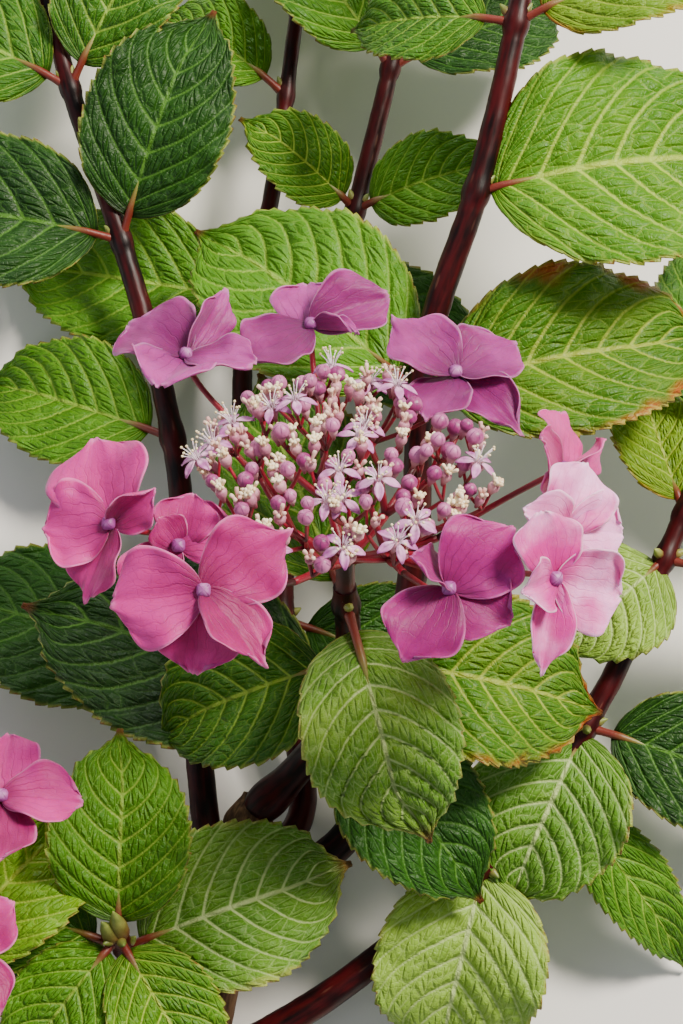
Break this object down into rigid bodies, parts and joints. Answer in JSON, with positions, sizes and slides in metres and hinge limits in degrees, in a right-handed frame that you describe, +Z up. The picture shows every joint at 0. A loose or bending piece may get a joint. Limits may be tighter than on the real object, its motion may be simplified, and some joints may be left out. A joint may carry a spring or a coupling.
{
  "type": "cut lacecap hydrangea branch",
  "caption": "Cut flowering branch of a lacecap hydrangea: a short woody cane forking into leafy shoots that lie on a level surface and bear flat, wide flower heads.",
  "frame": {"origin": "on the floor, under the middle of the branch's box", "axes": "+Z up, +Y along the branch from its cut end towards the tips of the shoots, +X to the right of that"},
  "size_m": [0.3294, 0.4218, 0.1619],
  "materials": {
    "old_bark": "matt grey-brown bark with a pale cut end",
    "young_bark": "smooth dark red bark, slightly glossy",
    "leaf": "soft green leaf blade with paler veins, satin",
    "flower_disc": "small lilac flowers and buds on crimson rays, satin",
    "ray_floret": "thin rose-pink sepals with darker veins, satin"
  },
  "bodies": {
    "root": {"cane": "old_bark", "floret_main_1": "ray_floret", "floret_main_10": "ray_floret", "floret_main_2": "ray_floret", "floret_main_3": "ray_floret", "floret_main_4": "ray_floret", "floret_main_5": "ray_floret", "floret_main_6": "ray_floret", "floret_main_7": "ray_floret", "floret_main_8": "ray_floret", "floret_main_9": "ray_floret", "floret_second_1": "ray_floret", "floret_second_2": "ray_floret", "floret_second_3": "ray_floret", "floret_second_4": "ray_floret", "floret_second_5": "ray_floret", "floret_second_6": "ray_floret", "floret_second_7": "ray_floret", "flowers_main": "flower_disc", "flowers_second": "flower_disc", "leaf_cane_1": "leaf", "leaf_left_1": "leaf", "leaf_left_2": "leaf", "leaf_low_1": "leaf", "leaf_low_2": "leaf", "leaf_main_1": "leaf", "leaf_main_2": "leaf", "leaf_main_3": "leaf", "leaf_main_4": "leaf", "leaf_main_5": "leaf", "leaf_main_6": "leaf", "leaf_right_1": "leaf", "leaf_right_2": "leaf", "leaf_second_1": "leaf", "leaf_second_2": "leaf", "leaf_second_3": "leaf", "leaf_second_4": "leaf", "leaf_side_1": "leaf", "leaf_side_2": "leaf", "leaf_side_3": "leaf", "leaf_side_4": "leaf", "leaf_top_1": "leaf", "shoot_left": "young_bark", "shoot_low": "young_bark", "shoot_main": "young_bark", "shoot_right": "young_bark", "shoot_second": "young_bark", "shoot_side": "young_bark", "shoot_top": "young_bark", "shoot_upper": "young_bark", "spray_left": "leaf", "spray_low": "leaf", "spray_right": "leaf", "spray_side": "leaf", "spray_top": "leaf", "spray_upper": "leaf"}
  },
  "joints": []
}
